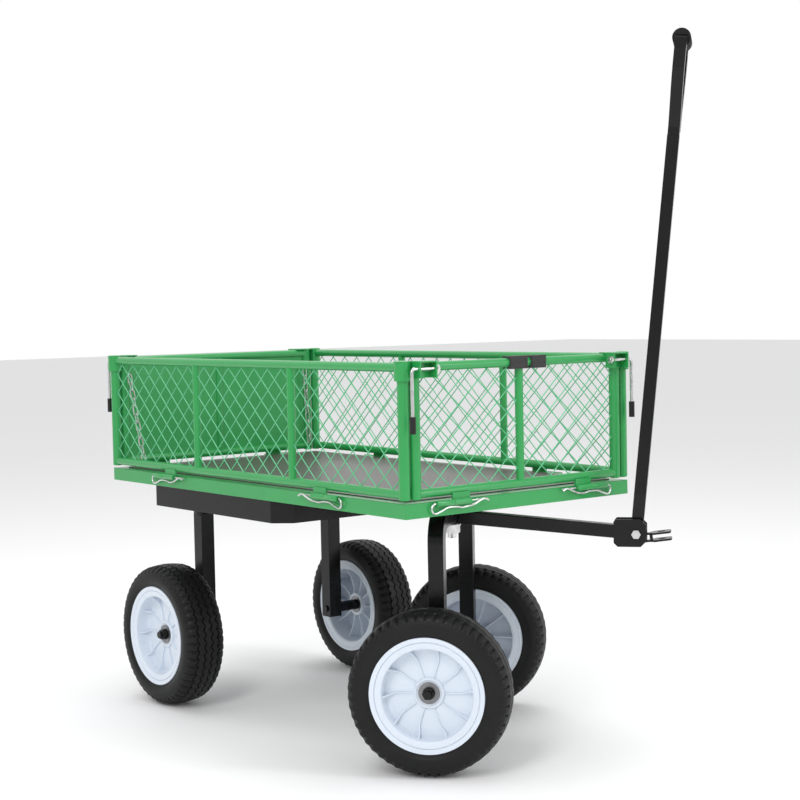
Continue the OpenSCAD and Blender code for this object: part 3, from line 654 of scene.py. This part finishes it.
# %% Caps on the posts
def turned(profile, centre, axis, sides=32):
    """A profile of (distance along the axis, radius), turned about an axis through centre."""
    axis = Vector(axis).normalized()
    spin = axis.to_track_quat("Z", "Y").to_matrix()

    def make(start):
        made = []
        for height, radius in profile:
            for a in np.arange(sides) * math.tau / sides:
                p = spin @ Vector((radius * math.cos(a), radius * math.sin(a), height))
                made.append((Vector(centre) + p) * MM)
        faces = grid_faces(len(profile), sides, wrap_columns=True, start=start)
        faces.append([start + j for j in range(sides)])
        faces.append([start + (len(profile) - 1) * sides + j for j in range(sides)])
        return made, faces
    return make


FOOT_CAP = [(-1.0, 10.6), (0.6, 10.6), (1.8, 9.4), (2.4, 6.5), (2.6, 2.0)]
COLLAR_CAP = [(-0.5, 15.8), (0.8, 15.8), (2.0, 13.0), (2.6, 6.0)]
FOOT_HEIGHT, COLLAR_HEIGHT = 6, 271.5
COLLAR_OUT = 1.008
for body, posts in (
    ("panel_right", [(-565, -299), (565, -299)]), ("panel_left", [(-565, 299), (565, 299)]),
    ("panel_front", [(568, -274), (568, 274)]), ("panel_back", [(-568, -274), (-568, 274)]),
):
    parts = [turned(FOOT_CAP, (x, y, FOOT_HEIGHT), (0, 0, -1)) for x, y in posts]
    if body in ("panel_right", "panel_left"):
        parts += [turned(COLLAR_CAP, (x, y * COLLAR_OUT, COLLAR_HEIGHT), (0, 0, 1))
                  for x, y in posts]
    caps = piece(f"caps_{body}", *gather(parts), "green_paint")
    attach(caps, body)
print("caps on the four sides' posts")

# %% [markdown]
# ## Floor, light and camera
# A pale floor runs far out to a soft horizon, so the cart stands on something and drops a
# shadow. A small plate would show its edges close by.

# %% Floor
FLOOR = -0.550
bpy.ops.mesh.primitive_plane_add(size=60, location=(0, 0, FLOOR - 0.0005))
floor = bpy.context.object
floor.name = "floor"
paper = bpy.data.materials.new("paper")
paper.use_nodes = True
paper.node_tree.nodes["Principled BSDF"].inputs["Base Color"].default_value = (0.93, 0.93, 0.93, 1)
paper.node_tree.nodes["Principled BSDF"].inputs["Roughness"].default_value = 0.9
floor.data.materials.append(paper)

# %% [markdown]
# The sky is white behind the cart and greyer on the near side, as in a studio with one white
# wall, so that dark paint keeps its depth. Three large soft lamps light the near side.

# %% Sky and lamps
bpy.context.scene.view_settings.view_transform = "Standard"
sky = bpy.data.worlds.new("sky")
bpy.context.scene.world = sky
sky.use_nodes = True
toward = Wire(sky.node_tree).make("ShaderNodeTexCoord", out="Generated")
facing = toward.make("ShaderNodeVectorMath", {"operation": "DOT_PRODUCT"},
                     {0: toward, 1: (-0.78, 0.62, 0.10)}, out="Value")
shade = toward.make("ShaderNodeValToRGB",
                    {"stops": [(0.0, (0.62, 0.62, 0.63)), (0.55, (0.74, 0.74, 0.75)),
                               (0.80, (1.0, 1.0, 1.0))]}, {"Fac": facing * 0.5 + 0.5})
toward.tree.links.new(shade.socket, sky.node_tree.nodes["Background"].inputs["Color"])


def lamp(name, place, target, size, power):
    light = bpy.data.lights.new(name, "AREA")
    light.shape = "RECTANGLE"
    light.size, light.size_y = size
    light.energy = power
    made = bpy.data.objects.new(name, light)
    made.location = place
    made.rotation_euler = (Vector(target) - Vector(place)).to_track_quat("-Z", "Y").to_euler()
    bpy.context.scene.collection.objects.link(made)


lamp("key", (2.2, -3.4, 2.8), (0, 0, 0), (1.2, 2.6), 80)
lamp("fill", (3.6, 1.8, 1.6), (0, 0, 0), (1.0, 2.4), 40)
lamp("top", (-0.6, 0.4, 3.6), (0, 0, 0), (3.0, 3.0), 55)
print("three lamps and a bright sky")

# %% [markdown]
# The camera stands low at the cart's front right corner and looks back through a long lens,
# which keeps the bed's long edges nearly parallel.

# %% Camera
LENS = 74.6
YAW, PITCH, ROLL = math.radians(141.60), math.radians(3.01), math.radians(-1.14)
lens = bpy.data.cameras.new("camera")
lens.lens = LENS
lens.sensor_width = 36.0
lens.shift_y = -0.0045
camera = bpy.data.objects.new("camera", lens)
ahead = Vector((math.cos(YAW) * math.cos(PITCH), math.sin(YAW) * math.cos(PITCH), -math.sin(PITCH)))
right = Vector((math.sin(YAW), -math.cos(YAW), 0))
above = right.cross(ahead)
right_rolled = math.cos(ROLL) * right + math.sin(ROLL) * above
above_rolled = -math.sin(ROLL) * right + math.cos(ROLL) * above
turn = Matrix((right_rolled, above_rolled, -ahead)).transposed().to_4x4()
camera.matrix_world = Matrix.Translation((3.0510, -2.2761, 0.3727)) @ turn
bpy.context.scene.collection.objects.link(camera)
bpy.context.scene.camera = camera
print("camera", round(camera.location.length, 2), "m from the deck's middle")
